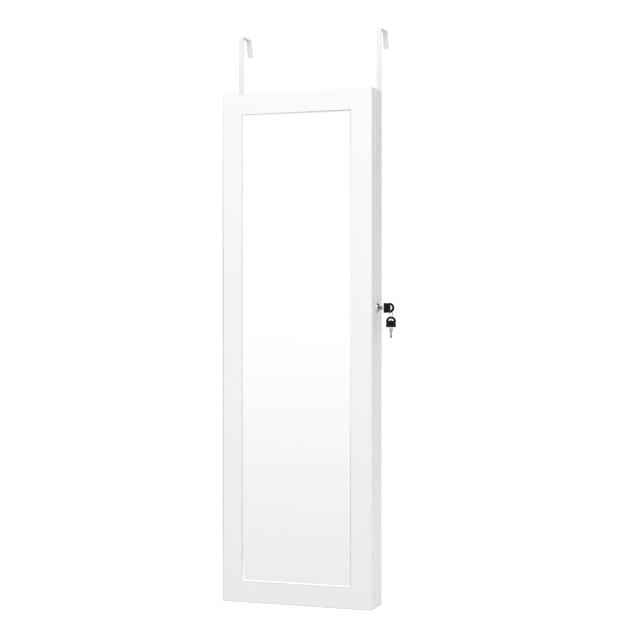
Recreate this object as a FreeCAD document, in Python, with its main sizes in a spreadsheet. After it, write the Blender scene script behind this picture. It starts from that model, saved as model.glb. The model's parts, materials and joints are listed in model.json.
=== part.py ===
import FreeCAD, Part
import os
import math
import Sketcher

# Jewelry mirror cabinet, hung over a room door or screwed to a wall.
# Millimetres. X to the right seen from the front, the mirror faces -Y, Z up.
# Origin: centre of the cabinet's back face. Body Y -49.5..0, door Y -80..-50.5.

os.makedirs("parts", exist_ok=True)
V = FreeCAD.Vector
R = FreeCAD.Rotation
doc = FreeCAD.newDocument("mirror_cabinet")
sheet = doc.addObject("Spreadsheet::Sheet", "dims")

SIZES = [
    # outer sizes
    ("cab_width", 370), ("cab_height", 1200), ("cab_depth", 80), ("body_depth", 49.5),
    ("seam", 1), ("board", 12), ("front_board", 12),
    # mirror opening, glass and its bevel
    ("open_width", 270), ("open_height", 1100), ("recess", 4.5), ("glass_gap", 0.4),
    ("glass_thick", 3), ("glass_set", 0.4), ("bevel", 3.5), ("bevel_drop", 0.8),
    ("tape_width", 220), ("tape_height", 20),
    # back
    ("back_thick", 4), ("rebate", 6), ("rail_height", 40), ("rail_thick", 12),
    ("wall_hole", 2.5), ("wall_x", 140), ("wall_z", 568), ("lining", 2),
    # hooks that go over a room door
    ("strap_left", 169), ("strap_right", 179), ("strap_width", 12), ("strap_thick", 2), ("strap_rise", 150),
    ("strap_tail", 62), ("strap_gap", 48), ("strap_leg", 41), ("strap_flare", 9),
    ("strap_bend", 2), ("strap_screw_right", 176.5),
    # fittings
    ("shelf_thick", 8), ("shelf_front", 47), ("divider_x", 20), ("guard_height", 12),
    ("guard_thick", 5), ("shelf_one", 40), ("shelf_two", -120), ("shelf_three", -280),
    ("shelf_four", -424), ("peg_pitch", 20), ("roll_radius", 10.5), ("roll_pitch", 22),
    ("rod_radius", 4), ("rod_height", 285), ("rail_notch", 12),
    # butt hinges
    ("hinge_out", 2.7), ("knuckle", 2.5), ("pin", 1.2), ("pin_clear", 0.05),
    ("leaf_width", 13.7), ("leaf_thick", 1), ("leaf_height", 60), ("hinge_pitch", 420),
    # cam lock
    ("lock_back", 36), ("lock_up", 94), ("flange", 10.5), ("flange_thick", 3.6), ("flange_round", 2.8),
    ("barrel", 8), ("plug", 6), ("plug_clear", 0.05), ("cam_reach", 24), ("cam_finger", 11),
    # keys and ring
    ("head_out", 16), ("head_len", 14.8), ("head_round", 11.8), ("head_thick", 3.4),
    ("blade_thick", 2), ("ring_round", 10.8), ("wire", 0.8), ("ring_at", 17.3),
    ("ring_drop", 15), ("spare_at", 18.9),
]


class Q:
    """A size with its number and the sheet formula it comes from."""

    def __init__(self, value, text):
        self.v, self.t = float(value), text

    def _j(self, other, op, swap=False):
        b = other if isinstance(other, Q) else Q(other, repr(float(other)))
        a, b = (b, self) if swap else (self, b)
        v = {"+": lambda: a.v + b.v, "-": lambda: a.v - b.v, "*": lambda: a.v * b.v, "/": lambda: a.v / b.v}[op]()
        return Q(v, "(" + a.t + " " + op + " " + b.t + ")")

    def __add__(self, o): return self._j(o, "+")
    def __radd__(self, o): return self._j(o, "+", True)
    def __sub__(self, o): return self._j(o, "-")
    def __rsub__(self, o): return self._j(o, "-", True)
    def __mul__(self, o): return self._j(o, "*")
    def __rmul__(self, o): return self._j(o, "*", True)
    def __truediv__(self, o): return self._j(o, "/")
    def __neg__(self): return self._j(-1, "*")


class Sizes:
    pass


d = Sizes()
for row, (alias, value) in enumerate(SIZES, 1):
    sheet.set("A%d" % row, alias)
    sheet.set("B%d" % row, str(value))
    sheet.setAlias("B%d" % row, alias)
    setattr(d, alias, Q(value, "dims." + alias))
doc.recompute()

SUBPARTS = []


def num(q):
    return q.v if isinstance(q, Q) else float(q)


def bind(obj, prop, q):
    """Set a property and tie it to the sheet."""
    if isinstance(q, Q):
        obj.setExpression(prop, q.t)


def place(obj, x=0, y=0, z=0, rot=None):
    obj.Placement = FreeCAD.Placement(V(num(x), num(y), num(z)), rot or R())
    bind(obj, "Placement.Base.x", x)
    bind(obj, "Placement.Base.y", y)
    bind(obj, "Placement.Base.z", z)
    return obj


def keep(obj, label):
    obj.Label = label
    SUBPARTS.append(obj)
    return obj


def body(name):
    return doc.addObject("PartDesign::Body", name)


def plane_of(b, role):
    return [f for f in b.Origin.OriginFeatures if f.Role == role][0]


def sketch(b, name, role, lift=0):
    sk = b.newObject("Sketcher::SketchObject", name)
    sk.AttachmentSupport = [(plane_of(b, role), "")]
    sk.MapMode = "FlatFace"
    if num(lift):
        sk.AttachmentOffset = FreeCAD.Placement(V(0, 0, num(lift)), R())
        bind(sk, "AttachmentOffset.Base.z", lift)
    return sk


def datum(sk, kind, args, q):
    n = sk.addConstraint(Sketcher.Constraint(kind, *args, num(q)))
    if isinstance(q, Q):
        sk.setExpression("Constraints[%d]" % n, q.t)


def fix_point(sk, geo, pos, x, y):
    """Hold a vertex at x, y from the sketch origin."""
    if abs(num(x)) < 1e-9:
        sk.addConstraint(Sketcher.Constraint("PointOnObject", geo, pos, -2))
    else:
        datum(sk, "DistanceX", (-1, 1, geo, pos), x)
    if abs(num(y)) < 1e-9:
        sk.addConstraint(Sketcher.Constraint("PointOnObject", geo, pos, -1))
    else:
        datum(sk, "DistanceY", (-1, 1, geo, pos), y)


def outline(sk, pts):
    """Closed outline. Each item is (x, y) or (x, y, radius, side): the edge that
    leaves a four-value item is an arc of that radius, bulging left (+1) or right (-1)."""
    first = sk.GeometryCount
    n = len(pts)
    for i, p in enumerate(pts):
        q = pts[(i + 1) % n]
        a, b = V(num(p[0]), num(p[1]), 0), V(num(q[0]), num(q[1]), 0)
        if len(p) == 2:
            sk.addGeometry(Part.LineSegment(a, b), False)
        else:
            r, side = num(p[2]), p[3]
            chord = b - a
            half = chord.Length / 2
            left = V(-chord.y, chord.x, 0).normalize()
            away = math.sqrt(max(r * r - half * half, 0))
            centre = a + chord * 0.5 - left * (side * away)
            # an arc is stored counter-clockwise, so one that bulges left is stored from b to a
            s, e = (a, b) if side < 0 else (b, a)
            a0 = math.atan2(s.y - centre.y, s.x - centre.x)
            a1 = math.atan2(e.y - centre.y, e.x - centre.x)
            if a1 <= a0:
                a1 += 2 * math.pi
            sk.addGeometry(Part.ArcOfCircle(Part.Circle(centre, V(0, 0, 1), r), a0, a1), False)
    ends = [(2, 1) if len(p) > 2 and p[3] > 0 else (1, 2) for p in pts]
    for i in range(n):
        j = (i + 1) % n
        sk.addConstraint(Sketcher.Constraint("Coincident", first + i, ends[i][1], first + j, ends[j][0]))
    for i, p in enumerate(pts):
        fix_point(sk, first + i, ends[i][0], p[0], p[1])
        if len(p) > 2:
            datum(sk, "Radius", (first + i,), p[2])
    return sk


def rect(sk, x0, x1, y0, y1):
    return outline(sk, [(x0, y0), (x1, y0), (x1, y1), (x0, y1)])


def circle(sk, x, y, r):
    n = sk.addGeometry(Part.Circle(V(num(x), num(y), 0), V(0, 0, 1), num(r)), False)
    fix_point(sk, n, 3, x, y)
    datum(sk, "Radius", (n,), r)


def pad(b, sk, length, mid=False, name=None):
    p = b.newObject("PartDesign::Pad", name or sk.Name + "_pad")
    p.Profile = sk
    p.Length = num(length)
    bind(p, "Length", length)
    if mid:
        p.Midplane = True
    doc.recompute()
    return p


def pocket(b, sk, length, back=False, through=False, mid=False):
    before = b.Shape.Volume
    p = b.newObject("PartDesign::Pocket", sk.Name + "_cut")
    p.Profile = sk
    if through:
        p.Type = 1
    else:
        p.Length = num(length)
        bind(p, "Length", length)
    p.Reversed = bool(back)
    if mid:
        p.Midplane = True
    doc.recompute()
    after = b.Shape.Volume
    if not after < before - 1e-3:
        raise RuntimeError(b.Name + ": " + sk.Name + " cut nothing")
    return p


def edges_where(shape, test):
    return ["Edge%d" % (i + 1) for i, e in enumerate(shape.Edges) if test(e)]


def soften(b, feature, names, size, chamfer=False):
    f = b.newObject("PartDesign::Chamfer" if chamfer else "PartDesign::Fillet", b.Name + "_soft%d" % len(b.Group))
    f.Base = (feature, names)
    if chamfer:
        f.Size = num(size)
    else:
        f.Radius = num(size)
    b.Tip = f
    doc.recompute()
    return f


def box(name, x0, x1, y0, y1, z0, z1):
    b = doc.addObject("Part::Box", name)
    for prop, lo, hi in (("Length", x0, x1), ("Width", y0, y1), ("Height", z0, z1)):
        size = hi - lo
        setattr(b, prop, num(size))
        bind(b, prop, size)
    return place(b, x0, y0, z0)


def cylinder(name, x, y, z, radius, height, rot=None):
    c = doc.addObject("Part::Cylinder", name)
    c.Radius, c.Height = num(radius), num(height)
    bind(c, "Radius", radius)
    bind(c, "Height", height)
    return place(c, x, y, z, rot)


def group(name, objs):
    c = doc.addObject("Part::Compound", name)
    c.Links = objs
    return c


def fuse(name, objs):
    c = doc.addObject("Part::MultiFuse", name)
    c.Shapes = objs
    c.Refine = True
    return c


def cut(name, base, tools):
    for k, tool in enumerate(tools):
        c = doc.addObject("Part::Cut", "%s_%d" % (name, k))
        c.Base, c.Tool = base, tool
        base = c
    return c


def copy_of(name, obj, x=0, y=0, z=0, rot=None):
    link = doc.addObject("App::Link", name)
    link.LinkedObject = obj
    link.LinkTransform = True
    return place(link, x, y, z, rot)


TO_X = R(V(0, 1, 0), 90)      # +Z turned to +X
TO_MX = R(V(0, 1, 0), -90)    # +Z turned to -X
TO_Y = R(V(1, 0, 0), -90)     # +Z turned to +Y
TO_MY = R(V(1, 0, 0), 90)     # +Z turned to -Y

half_w, half_h = d.cab_width / 2, d.cab_height / 2
in_x, in_z = half_w - d.board, half_h - d.board
body_y, door_y = -d.body_depth, -(d.body_depth + d.seam)
front_y = -d.cab_depth
board_y = front_y + d.front_board       # back of the front board
back_in = -d.back_thick                 # inner face of the back panel
lin_y = back_in - d.lining              # front of the velvet lining


# ---------------------------------------------------------------- fasteners
def screw_master(name, head_r, head_len, shank_r, length, cross):
    """Countersunk screw along +Z from its head's face at z = 0. One with a cross
    recess is the fastener; a blank one cuts the holes that it fills."""
    b = body(name)
    sk = sketch(b, name + "_half", "XZ_Plane")
    outline(sk, [(0, 0), (head_r, 0), (head_r, 0.25), (shank_r, head_len), (shank_r, length - 1.5), (0, length)])
    rev = b.newObject("PartDesign::Revolution", name + "_turned")
    rev.Profile = sk
    rev.ReferenceAxis = (sk, ["V_Axis"])
    rev.Angle = 360
    doc.recompute()
    if not cross:
        return b
    sk2 = sketch(b, name + "_cross", "XY_Plane")
    a, w = head_r * 0.55, head_r * 0.11
    outline(sk2, [(-a, -w), (-w, -w), (-w, -a), (w, -a), (w, -w), (a, -w), (a, w), (w, w), (w, a), (-w, a), (-w, w), (-a, w)])
    pocket(b, sk2, head_len * 0.6, back=True)
    return b


SMALL = [screw_master("screw_small%d" % k, 2.5, 1.0, 1.25, 11, k == 0) for k in (0, 1)]
LARGE = [screw_master("screw_strap%d" % k, 2.9, 2.0, 1.5, 14, k == 0) for k in (0, 1)]

hinge_z = [-d.hinge_pitch, d.hinge_pitch * 0, d.hinge_pitch]
hx = -(half_w + d.hinge_out)
hy = -(d.body_depth + d.seam / 2)


def screws(label, kinds, spots, rot):
    """A group of equal screws, kept as one sub-part, and the blanks that cut their holes."""
    made = [group("%s_g%d" % (label, v), [copy_of("%s_%d_%d" % (label, v, k), kind, x, y, z, rot) for k, (x, y, z) in enumerate(spots)])
            for v, kind in enumerate(kinds)]
    keep(made[0], label)
    return made[1]


hinge_spots = [z + dz for z in hinge_z for dz in (-18, 18)]
body_screws = screws("body_hinge_screws", SMALL, [(-179.4, hy + 0.1, z) for z in hinge_spots], TO_Y)
door_screws = screws("door_hinge_screws", SMALL, [(-179.4, hy - 0.1, z) for z in hinge_spots], TO_MY)
strap_screws = screws("strap_screws", LARGE, [(x, 0, z) for x in (-d.strap_left, d.strap_screw_right) for z in (half_h - 20, half_h - 44)], TO_MY)
strike_screws = screws("strike_screws", SMALL, [(in_x - 1.5, -60.5, d.lock_up + dz) for dz in (-29, 3)], TO_X)

dowels = keep(group("panel_dowels_g", [
    cylinder("dowel_%d" % k, x, y, z, 3, 24, TO_X)
    for k, (x, y, z) in enumerate([(x, y, z) for x in (-in_x - 9, in_x - 15) for y in (-38, -14) for z in (-(half_h - 6), half_h - 6)])]), "panel_dowels")

magnets = keep(group("catch_magnets_g", [
    cylinder("magnet_%d" % k, half_w - 6, body_y + 0.1, z, 4, 5, TO_Y) for k, z in enumerate((-500, 500))]), "catch_magnets")
plates = keep(group("catch_discs_g", [
    cylinder("disc_%d" % k, half_w - 6, door_y - 0.1, z, 4, 2.5, TO_MY) for k, z in enumerate((-500, 500))]), "catch_discs")


# ---------------------------------------------------------------- butt hinges
def hinge_leaf(name, side):
    """One leaf about its pin line at x = 0, y = 0. side +1 is the cabinet's leaf."""
    t0, t1 = (0.1, 0.1 + d.leaf_thick) if side > 0 else (-0.1 - d.leaf_thick, -0.1 + d.leaf_thick * 0)
    lh = d.leaf_height / 2
    clear = d.knuckle + 0.3
    plate = box(name + "_plate", clear, d.leaf_width, t0, t1, -lh, lh)
    third = d.leaf_height / 6
    pieces = [plate]
    spans = [(-lh, -third - 0.15), (third + 0.15, lh)] if side > 0 else [(-third + 0.15, third - 0.15)]
    bores = []
    for k, (z0, z1) in enumerate(spans):
        pieces.append(cylinder("%s_knuckle%d" % (name, k), 0, 0, z0, d.knuckle, z1 - z0))
        pieces.append(box("%s_tongue%d" % (name, k), d.knuckle * 0.4, clear + 0.5, t0, t1, z0, z1))
        bores.append(cylinder("%s_bore%d" % (name, k), 0, 0, z0 - 1, d.pin if side > 0 else d.pin + d.pin_clear, z1 - z0 + 2))
    solid = fuse(name + "_solid", pieces)
    doc.recompute()
    return cut(name + "_bored", solid, bores)


leaf_b, leaf_d = hinge_leaf("leaf_body", 1), hinge_leaf("leaf_door", -1)


def three(name, obj):
    return group(name, [copy_of("%s_%d" % (name, k), obj, hx, hy, z) for k, z in enumerate(hinge_z)])


body_leaves = keep(cut("hinge_body_leaves_c", three("hinge_body_leaves_g", leaf_b), [body_screws]), "hinge_body_leaves")
door_leaves = keep(cut("hinge_door_leaves_c", three("hinge_door_leaves_g", leaf_d), [door_screws]), "hinge_door_leaves")

pb = body("hinge_pin_one")
sk = sketch(pb, "hinge_pin_half", "XZ_Plane")
lh = d.leaf_height / 2
outline(sk, [(0, -lh - 1), (2.0, -lh - 1), (2.0, -lh), (d.pin, -lh), (d.pin, lh), (2.0, lh), (2.0, lh + 0.6), (1.2, lh + 1.2), (0, lh + 1.2)])
rev = pb.newObject("PartDesign::Revolution", "hinge_pin_turned")
rev.Profile = sk
rev.ReferenceAxis = (sk, ["V_Axis"])
rev.Angle = 360
doc.recompute()
pins = keep(three("hinge_pins_g", pb), "hinge_pins")
leaf_slots = three("leaf_slots_g", box("leaf_slot", d.hinge_out * 0, d.leaf_width, -0.1 - d.leaf_thick, 0.1 + d.leaf_thick, -lh, lh))


# ---------------------------------------------------------------- cabinet body
def side_panel(name, sign):
    b = body(name)
    sk = sketch(b, name + "_outline", "YZ_Plane")
    rect(sk, body_y, 0, -half_h, half_h)
    p = pad(b, sk, d.board)
    face = d.board if sign < 0 else 0
    sk2 = sketch(b, name + "_rebate", "YZ_Plane", face)
    rect(sk2, back_in, 0, -(half_h - d.rebate), half_h - d.rebate)
    pocket(b, sk2, d.rebate, back=sign > 0)
    sk3 = sketch(b, name + "_channel", "YZ_Plane", face)
    rect(sk3, -d.strap_thick, 0, half_h - d.strap_tail, half_h)
    pk = pocket(b, sk3, (d.strap_left if sign < 0 else d.strap_right) + d.strap_width / 2 - in_x, back=sign > 0)
    if sign > 0:
        sk4 = sketch(b, name + "_lock_bore", "YZ_Plane")
        circle(sk4, -d.lock_back, d.lock_up, d.barrel + 0.1)
        pk = pocket(b, sk4, 1, through=True, back=True)
    outer = d.board.v if sign > 0 else 0.0
    names = edges_where(b.Shape, lambda e: e.Length > 900 and abs(e.CenterOfMass.x - outer) < 0.01 and abs(e.CenterOfMass.y - body_y.v) < 0.01)
    soften(b, pk, names, 0.8)
    return place(b, -half_w if sign < 0 else in_x)


keep(cut("side_panel_left_c", side_panel("side_left", -1), [dowels, leaf_slots, body_screws]), "side_panel_left")
keep(cut("side_panel_right_c", side_panel("side_right", 1), [dowels, magnets, strap_screws]), "side_panel_right")


def end_panel(name, sign):
    b = body(name)
    sk = sketch(b, name + "_outline", "XZ_Plane")
    rect(sk, -in_x, in_x, 0, d.board)
    pad(b, sk, d.body_depth)
    near = (0, d.rebate) if sign > 0 else (d.board - d.rebate, d.board)
    sk2 = sketch(b, name + "_rebate", "XZ_Plane")
    rect(sk2, -in_x, in_x, near[0], near[1])
    pocket(b, sk2, d.back_thick, back=True)
    if sign > 0:
        sk3 = sketch(b, name + "_channel", "XZ_Plane")
        rect(sk3, -in_x, -(d.strap_left - d.strap_width / 2), d.rebate, d.board)
        pocket(b, sk3, d.strap_thick, back=True)
    return place(b, 0, 0, in_z if sign > 0 else -half_h)


keep(cut("top_panel_c", end_panel("top_board", 1), [dowels]), "top_panel")
keep(cut("bottom_panel_c", end_panel("bottom_board", -1), [dowels]), "bottom_panel")

b = body("back_board")
sk = sketch(b, "back_outline", "XZ_Plane")
rect(sk, -(in_x + d.rebate), in_x + d.rebate, -(half_h - d.rebate), half_h - d.rebate)
for x in (-d.wall_x, d.wall_x):
    for z in (-d.wall_z, d.wall_z):
        circle(sk, x, z, d.wall_hole)
pad(b, sk, d.back_thick)
for k, (x0, x1) in enumerate(((-(d.strap_left + d.strap_width / 2), -(d.strap_left - d.strap_width / 2)), (d.strap_right - d.strap_width / 2, in_x + d.rebate))):
    sk = sketch(b, "back_channel%d" % k, "XZ_Plane")
    rect(sk, x0, x1, half_h - d.strap_tail, half_h - d.rebate)
    pocket(b, sk, d.strap_thick, back=True)
keep(cut("back_panel_c", b, [strap_screws]), "back_panel")


def wall_rail(name, label, sign, tools):
    b = body(name)
    sk = sketch(b, name + "_outline", "XZ_Plane")
    z0, z1 = (in_z - d.rail_height, in_z) if sign > 0 else (-in_z, -in_z + d.rail_height)
    rect(sk, -in_x, in_x, z0, z1)
    for x in (-d.wall_x, d.wall_x):
        circle(sk, x, d.wall_z * sign, d.wall_hole)
    pad(b, sk, d.rail_thick)
    place(b, 0, back_in)
    keep(cut(name + "_c", b, tools) if tools else b, label)


wall_rail("rail_top", "hanging_rail", 1, [strap_screws])
wall_rail("rail_low", "lower_rail", -1, [])

lin_z = in_z - d.rail_height
b = body("lining_board")
sk = sketch(b, "lining_outline", "XZ_Plane")
rect(sk, -in_x, in_x, -lin_z, lin_z)
pad(b, sk, d.lining)
place(b, 0, back_in)
keep(b, "velvet_back_lining")

# upright divider, notched round the hanging rail
b = body("divider")
sk = sketch(b, "divider_outline", "YZ_Plane")
rail_front = back_in - d.rail_thick
outline(sk, [(-d.shelf_front, d.shelf_one), (lin_y, d.shelf_one), (lin_y, lin_z), (rail_front, lin_z), (rail_front, in_z), (-d.shelf_front, in_z)])
pad(b, sk, d.shelf_thick)
place(b, d.divider_x)
keep(b, "compartment_divider")


def shelf(name, label, top):
    b = body(name)
    sk = sketch(b, name + "_outline", "XY_Plane")
    rect(sk, -in_x, in_x, -d.shelf_front, lin_y)
    p = pad(b, sk, d.shelf_thick)
    names = edges_where(b.Shape, lambda e: abs(e.CenterOfMass.y + d.shelf_front.v) < 0.01 and e.Length > 100)
    soften(b, p, names, 1.0)
    place(b, 0, 0, top - d.shelf_thick)
    keep(b, label)


for name, label, top in (("shelf_a", "shelf_upper", d.shelf_one), ("shelf_b", "shelf_second", d.shelf_two),
                         ("shelf_c", "shelf_third", d.shelf_three), ("shelf_d", "shelf_lower", d.shelf_four)):
    shelf(name, label, top)


def guard(name, label, floor):
    b = body(name)
    sk = sketch(b, name + "_outline", "YZ_Plane")
    rect(sk, -d.shelf_front + 1, -d.shelf_front + 1 + d.guard_thick, 0, d.guard_height)
    p = pad(b, sk, in_x * 2)
    names = edges_where(b.Shape, lambda e: e.Length > 100)
    soften(b, p, names, 1.2)
    place(b, -in_x, 0, floor + 22)
    keep(b, label)


for name, label, floor in (("guard_a", "guard_bar_second", d.shelf_two), ("guard_b", "guard_bar_third", d.shelf_three),
                           ("guard_c", "guard_bar_lower", d.shelf_four), ("guard_d", "guard_bar_bottom", -in_z)):
    guard(name, label, floor)

# necklace rail with its tilted pegs
b = body("peg")
sk = sketch(b, "peg_half", "XZ_Plane")
outline(sk, [(0, -7), (1.8, -7), (1.8, 22), (3.6, 24), (3.4, 25.4), (2.6, 26.6), (1.4, 27.2), (0, 27.2)])
rev = b.newObject("PartDesign::Revolution", "peg_turned")
rev.Profile = sk
rev.ReferenceAxis = (sk, ["V_Axis"])
rev.Angle = 360
doc.recompute()
peg = b
rail_y = lin_y - 10
pegs = keep(group("necklace_pegs_g", [
    copy_of("peg_%d" % k, peg, d.peg_pitch * (k - 7.9), rail_y, 530, R(V(1, 0, 0), 78)) for k in range(9)]), "necklace_pegs")
b = body("neck_rail")
sk = sketch(b, "neck_rail_outline", "XZ_Plane")
rect(sk, -in_x, d.divider_x, 519, 541)
p = pad(b, sk, 10)
names = edges_where(b.Shape, lambda e: abs(e.CenterOfMass.y + 10) < 0.01 and e.Length > 100)
soften(b, p, names, 1.5)
place(b, 0, lin_y)
keep(cut("neck_rail_c", b, [pegs]), "necklace_rail")

# ring tray with padded rolls
rx0, rx1 = d.divider_x + d.shelf_thick + 2, in_x - 2
b = body("tray")
sk = sketch(b, "tray_outline", "XZ_Plane")
rect(sk, rx0, rx1, 330, 540)
pad(b, sk, 6)
place(b, 0, lin_y)
keep(b, "ring_tray")
rolls = keep(group("ring_rolls_g", [
    cylinder("roll_%d" % k, rx0 + 2, lin_y - 6.2 - d.roll_radius, d.roll_pitch * k + 347, d.roll_radius, rx1 - rx0 - 4, TO_X)
    for k in range(9)]), "ring_rolls")

# bracelet rod in two cups
rod_y = -27
cups, holes = [], []
for k, (x, rot) in enumerate(((d.divider_x + d.shelf_thick, TO_X), (in_x, TO_MX))):
    b = body("cup_%d" % k)
    sk = sketch(b, "cup_half_%d" % k, "XZ_Plane")
    outline(sk, [(0, 0), (9, 0), (9, 1.5), (7.5, 2), (6.2, 6), (d.rod_radius, 6), (d.rod_radius, 1.5), (0, 1.5)])
    rev = b.newObject("PartDesign::Revolution", "cup_turned_%d" % k)
    rev.Profile = sk
    rev.ReferenceAxis = (sk, ["V_Axis"])
    rev.Angle = 360
    doc.recompute()
    cups.append(place(b, x, rod_y, d.rod_height, rot))
keep(group("rod_cups_g", cups), "rod_cups")
x0 = d.divider_x + d.shelf_thick + 1.5
keep(cylinder("rod", x0, rod_y, d.rod_height, d.rod_radius, in_x - 1.5 - x0, TO_X), "bracelet_rod")


# ---------------------------------------------------------------- hooks over the door
def strap(name, sign):
    b = body(name)
    sk = sketch(b, name + "_path", "YZ_Plane")
    t, r, g = d.strap_thick, d.strap_bend, d.strap_gap
    top = half_h + d.strap_rise
    low = top - d.strap_leg
    f = d.strap_flare
    ro = r + t
    outline(sk, [
        (-t, half_h - d.strap_tail), (0, half_h - d.strap_tail), (0, top - ro, r, 1),
        (r, top - t), (g - r, top - t, r, 1), (g, top - ro), (g + f, low),
        (g + f + t, low + 0.4), (g + t, top - ro, ro, -1),
        (g - r, top), (r, top, ro, -1), (-t, top - ro)])
    p = pad(b, sk, d.strap_width)
    names = edges_where(b.Shape, lambda e: abs(e.Length - d.strap_width.v) < 0.01 and e.CenterOfMass.z < half_h.v - d.strap_tail.v + 0.1)
    place(b, (-d.strap_left if sign < 0 else d.strap_right) - d.strap_width / 2)
    return b


keep(cut("strap_left_c", strap("strap_l", -1), [strap_screws]), "hook_strap_left")
keep(cut("strap_right_c", strap("strap_r", 1), [strap_screws]), "hook_strap_right")


# ---------------------------------------------------------------- door
b = body("front_frame")
sk = sketch(b, "front_outline", "XZ_Plane")
rect(sk, -half_w, half_w, -half_h, half_h)
pad(b, sk, d.front_board)
sk2 = sketch(b, "front_recess", "XZ_Plane", d.front_board)
rect(sk2, -d.open_width / 2, d.open_width / 2, -d.open_height / 2, d.open_height / 2)
pk = pocket(b, sk2, d.recess)
names = edges_where(b.Shape, lambda e: abs(e.CenterOfMass.y + d.front_board.v) < 0.01 and (abs(e.CenterOfMass.x) > half_w.v - 0.01 or abs(e.CenterOfMass.z) > half_h.v - 0.01))
f1 = soften(b, pk, names, 2.6)
names = edges_where(b.Shape, lambda e: abs(e.CenterOfMass.y + d.front_board.v) < 0.01 and (abs(abs(e.CenterOfMass.x) - d.open_width.v / 2) < 0.01 or abs(abs(e.CenterOfMass.z) - d.open_height.v / 2) < 0.01))
soften(b, f1, names, 0.6)
place(b, 0, board_y)
keep(b, "door_front_board")

# mirror glass with a ground bevel all round
b = body("glass")
sk = sketch(b, "glass_outline", "XZ_Plane")
gx, gz = d.open_width / 2 - d.glass_gap, d.open_height / 2 - d.glass_gap
rect(sk, -gx, gx, -gz, gz)
pad(b, sk, d.glass_thick)
for k, (plane, reach, cross, far) in enumerate((("YZ_Plane", gx, gz, "x"), ("XY_Plane", gz, gx, "z"))):
    for s in (-1, 1):
        sk = sketch(b, "glass_bevel_%s%d" % (far, s + 1), plane)
        if far == "x":      # cut along X at the top and bottom edges
            outline(sk, [(-d.glass_thick, (cross - d.bevel) * s), (-d.glass_thick - 1, (cross - d.bevel) * s), (-d.glass_thick - 1, (cross + 1) * s), (-d.glass_thick + d.bevel_drop, (cross + 1) * s), (-d.glass_thick + d.bevel_drop, cross * s)])
        else:               # cut along Z at the left and right edges
            outline(sk, [((cross - d.bevel) * s, -d.glass_thick), ((cross - d.bevel) * s, -d.glass_thick - 1), ((cross + 1) * s, -d.glass_thick - 1), ((cross + 1) * s, -d.glass_thick + d.bevel_drop), (cross * s, -d.glass_thick + d.bevel_drop)])
        pocket(b, sk, (reach + 5) * 2, mid=True)
place(b, 0, front_y + d.glass_set + d.glass_thick)
keep(b, "mirror_glass")

keep(group("mirror_tape_g", [
    box("tape_%d" % k, -d.tape_width / 2, d.tape_width / 2, front_y + d.glass_set + d.glass_thick, front_y + d.recess, -d.tape_height / 2 + z, d.tape_height / 2 + z)
    for k, z in enumerate((-450, -150, 150, 450))]), "mirror_adhesive_tape")


def door_side(name, sign):
    b = body(name)
    sk = sketch(b, name + "_outline", "XZ_Plane")
    rect(sk, 0, d.board, -half_h, half_h)
    p = pad(b, sk, door_y - board_y)
    outer = d.board.v if sign > 0 else 0.0
    names = edges_where(b.Shape, lambda e: e.Length > 900 and abs(e.CenterOfMass.x - outer) < 0.01 and abs(e.CenterOfMass.y) < 0.01)
    soften(b, p, names, 0.8)
    return place(b, -half_w if sign < 0 else in_x, door_y)


keep(cut("door_side_left_c", door_side("door_left", -1), [leaf_slots, door_screws]), "door_side_left")
keep(cut("door_side_right_c", door_side("door_right", 1), [plates, strike_screws]), "door_side_right")
for name, label, z in (("door_top", "door_top_edge", in_z), ("door_low", "door_bottom_edge", -half_h)):
    b = body(name)
    sk = sketch(b, name + "_outline", "XZ_Plane")
    rect(sk, -in_x, in_x, 0, d.board)
    pad(b, sk, door_y - board_y)
    keep(place(b, 0, door_y, z), label)

b = body("door_lining")
sk = sketch(b, "door_lining_outline", "XZ_Plane")
rect(sk, -in_x, in_x, -in_z, in_z)
pad(b, sk, d.lining)
keep(place(b, 0, board_y + d.lining), "velvet_door_lining")

# notched bars that earring hooks hang in
for k, (label, z) in enumerate((("earring_bar_top", 480), ("earring_bar_second", 380), ("earring_bar_third", 280), ("earring_bar_lower", 180))):
    b = body("ear_bar_%d" % k)
    sk = sketch(b, "ear_bar_outline_%d" % k, "XZ_Plane")
    rect(sk, -in_x, in_x, 0, 20)
    p = pad(b, sk, 3)
    sk2 = sketch(b, "ear_notch_%d" % k, "XZ_Plane", 3)
    rect(sk2, -150, -148, 15, 20)
    pk = pocket(b, sk2, 3)
    lp = b.newObject("PartDesign::LinearPattern", "ear_notches_%d" % k)
    lp.Originals = [pk]
    lp.Direction = (sk2, ["H_Axis"])
    lp.Occurrences = 26
    lp.Mode = "Spacing"
    lp.Offset = d.rail_notch.v
    lp.setExpression("Offset", d.rail_notch.t)
    b.Tip = lp
    doc.recompute()
    keep(place(b, 0, -57, z), label)

# padded stud cushion
b = body("stud_pad")
sk = sketch(b, "stud_pad_outline", "XZ_Plane")
rect(sk, -150, 150, -500, -140)
p = pad(b, sk, 9)
names = edges_where(b.Shape, lambda e: abs(e.CenterOfMass.y + 9) < 0.01)
soften(b, p, names, 3.5)
keep(place(b, 0, board_y + d.lining + 9 + 0.2), "stud_cushion")

# strike that the lock's cam hooks behind
leafy = box("strike_leaf", in_x - 1.5, in_x, -66, -54, d.lock_up - 34, d.lock_up + 8)
tongue = box("strike_tongue", in_x - 18, in_x - 1, -57, -55.5, d.lock_up - 20, d.lock_up - 6)
strike = fuse("strike_solid", [leafy, tongue])
doc.recompute()
keep(cut("strike_c", strike, [strike_screws]), "lock_strike")


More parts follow.
